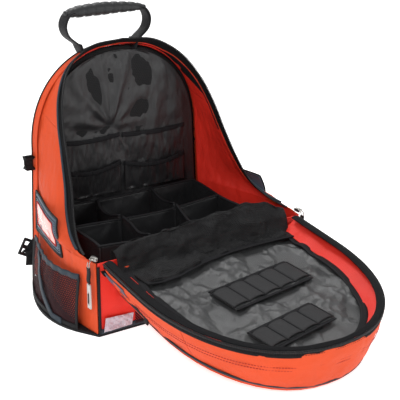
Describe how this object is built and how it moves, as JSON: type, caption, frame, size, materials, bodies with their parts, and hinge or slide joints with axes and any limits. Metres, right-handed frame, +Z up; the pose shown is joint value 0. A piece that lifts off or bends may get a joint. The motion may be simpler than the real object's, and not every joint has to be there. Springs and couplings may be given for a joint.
{
  "type": "trauma backpack",
  "caption": "Soft first-responder trauma backpack with an arched clamshell lid laid open, cell divider insert, mesh pockets, carry handle and shoulder straps.",
  "frame": {"origin": "middle of the underside of the base, on the floor", "axes": "+Z up, +Y towards the back panel that the wearer carries, +X across the bag; the open lid lies towards -Y"},
  "size_m": [0.5266, 0.7384, 0.5293],
  "materials": {
    "shell_cloth": "coated woven nylon, orange",
    "inner_cloth": "uncoated reverse of the shell cloth, deep orange red",
    "zip_tape": "woven zip tape, black",
    "lining": "thin crinkled nylon, dark grey",
    "divider_cloth": "satin nylon over foam, black",
    "lining_mesh": "knitted mesh, black",
    "pocket_mesh": "knitted mesh over orange cloth, dark red",
    "webbing": "woven webbing, black",
    "trim": "reflective binding, blue grey",
    "window": "clear vinyl over orange cloth",
    "patch": "plain pale reflective patch",
    "zip_metal": "cast zip slider",
    "puller": "stiff reflective puller on webbing",
    "grip": "ribbed moulded rubber",
    "harness_pad": "padded webbing-edged strap, black",
    "buckle": "moulded acetal, black"
  },
  "bodies": {
    "pack": {"side_panel_left": "shell_cloth", "side_panel_right": "shell_cloth", "top_panel": "shell_cloth", "back_panel": "shell_cloth", "base_panel": "shell_cloth", "front_panel": "inner_cloth", "body_zip_tape": "zip_tape", "upper_pocket_left": "lining", "upper_pocket_right": "lining", "lower_pocket_left": "lining", "lower_pocket_right": "lining", "divider_frame": "divider_cloth", "divider_middle": "divider_cloth", "divider_left_rear": "divider_cloth", "divider_left_fore": "divider_cloth", "divider_right_rear": "divider_cloth", "divider_right_fore": "divider_cloth", "front_mesh_lining": "lining_mesh", "mesh_pocket_left": "pocket_mesh", "mesh_pocket_right": "pocket_mesh", "pocket_hem_left": "webbing", "pocket_hem_right": "webbing", "side_tab_left": "webbing", "side_tab_right": "webbing", "strap_web_left": "webbing", "strap_web_right": "webbing", "window_trim_left": "trim", "window_trim_right": "trim", "id_window_left": "window", "id_window_right": "window", "front_patch": "patch", "shoulder_strap_left": "harness_pad", "shoulder_strap_right": "harness_pad"},
    "lid": {"lid_side_left": "shell_cloth", "lid_side_right": "shell_cloth", "lid_end_wall": "shell_cloth", "lid_zip_tape": "zip_tape", "lid_lining": "lining", "lid_panel": "shell_cloth", "lid_pouch": "shell_cloth", "lid_hinge_wall": "inner_cloth", "lid_mesh_pocket": "lining_mesh", "lid_mesh_hem": "webbing", "loop_strip_near": "webbing", "loop_strip_far": "webbing", "reflective_strip_left": "trim", "reflective_strip_right": "trim"},
    "handle": {"handle_leg_left": "webbing", "handle_leg_right": "webbing", "handle_grip": "grip"},
    "slider_left": {"zip_slider_left": "zip_metal"},
    "puller_left": {"zip_puller_left": "puller"},
    "slider_right": {"zip_slider_right": "zip_metal"},
    "puller_right": {"zip_puller_right": "puller"},
    "adjuster_left": {"ladder_lock_left": "buckle"},
    "adjuster_right": {"ladder_lock_right": "buckle"},
    "sternum": {"sternum_web_left": "webbing", "sternum_buckle_socket": "buckle"},
    "sternum_plug": {"sternum_web_right": "webbing", "sternum_buckle_plug": "buckle"}
  },
  "joints": [
    {"name": "lid_hinge", "type": "hinge", "parent": "pack", "child": "lid", "pos_m": [0, -0.161, 0.138], "axis": [-1, 0, 0], "range_deg": [0, 138.5]},
    {"name": "handle_fold", "type": "hinge", "parent": "pack", "child": "handle", "pos_m": [-0.02, 0.1655, 0.4495], "axis": [-1, 0, 0], "range_deg": [0, 85]},
    {"name": "zip_slide_left", "type": "slide", "parent": "pack", "child": "slider_left", "axis": [0.02, 0.9852, 0.17], "range_m": [0, 0.018]},
    {"name": "zip_slide_right", "type": "slide", "parent": "pack", "child": "slider_right", "axis": [-0.02, 0.9852, 0.17], "range_m": [0, 0.018]},
    {"name": "puller_swing_left", "type": "hinge", "parent": "slider_left", "child": "puller_left", "pos_m": [-0.2319, -0.1393, 0.1455], "axis": [0, 1, 0], "range_deg": [0, 80]},
    {"name": "puller_swing_right", "type": "hinge", "parent": "slider_right", "child": "puller_right", "pos_m": [0.2319, -0.1393, 0.1455], "axis": [0, -1, 0], "range_deg": [0, 80]},
    {"name": "strap_adjust_left", "type": "slide", "parent": "pack", "child": "adjuster_left", "axis": [0.7482, 0.04, 0.6622], "range_m": [0, 0.03]},
    {"name": "strap_adjust_right", "type": "slide", "parent": "pack", "child": "adjuster_right", "axis": [-0.7482, 0.04, 0.6622], "range_m": [0, 0.03]},
    {"name": "sternum_height", "type": "slide", "parent": "pack", "child": "sternum", "axis": [0, 0, 1], "range_m": [0, 0.03]},
    {"name": "sternum_release", "type": "slide", "parent": "sternum", "child": "sternum_plug", "axis": [1, 0, 0], "range_m": [0, 0.018]}
  ]
}
